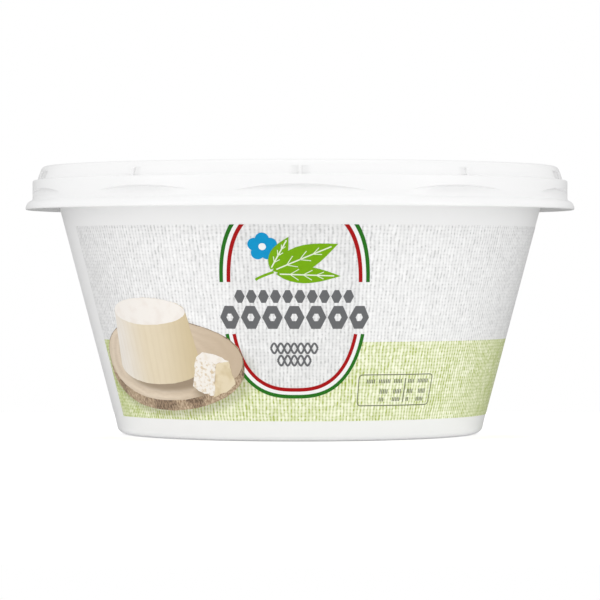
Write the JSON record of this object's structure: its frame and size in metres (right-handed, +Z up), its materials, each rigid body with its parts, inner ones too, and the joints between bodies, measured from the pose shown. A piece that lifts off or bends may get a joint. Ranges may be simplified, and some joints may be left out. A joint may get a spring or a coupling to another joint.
{
  "type": "ricotta cheese tub",
  "caption": "Closed round plastic tub of ricotta: tapered white tub, printed wrap-around label and push-on lid with a flared lip",
  "frame": {"origin": "centre of the foot, on the surface that the tub stands on", "axes": "+Z up through the lid and along the tub's axis; -Y is the front, the side with the emblem; +X is to the right of someone who faces the front"},
  "size_m": [0.118, 0.118, 0.0575],
  "materials": {
    "tub_plastic": "white injection-moulded polypropylene, satin",
    "label_print": "in-mould printed film, satin, white and light green linen pattern",
    "lid_plastic": "white injection-moulded polypropylene, satin"
  },
  "bodies": {
    "root": {"tub": "tub_plastic", "label": "label_print", "lid": "lid_plastic"}
  },
  "joints": []
}
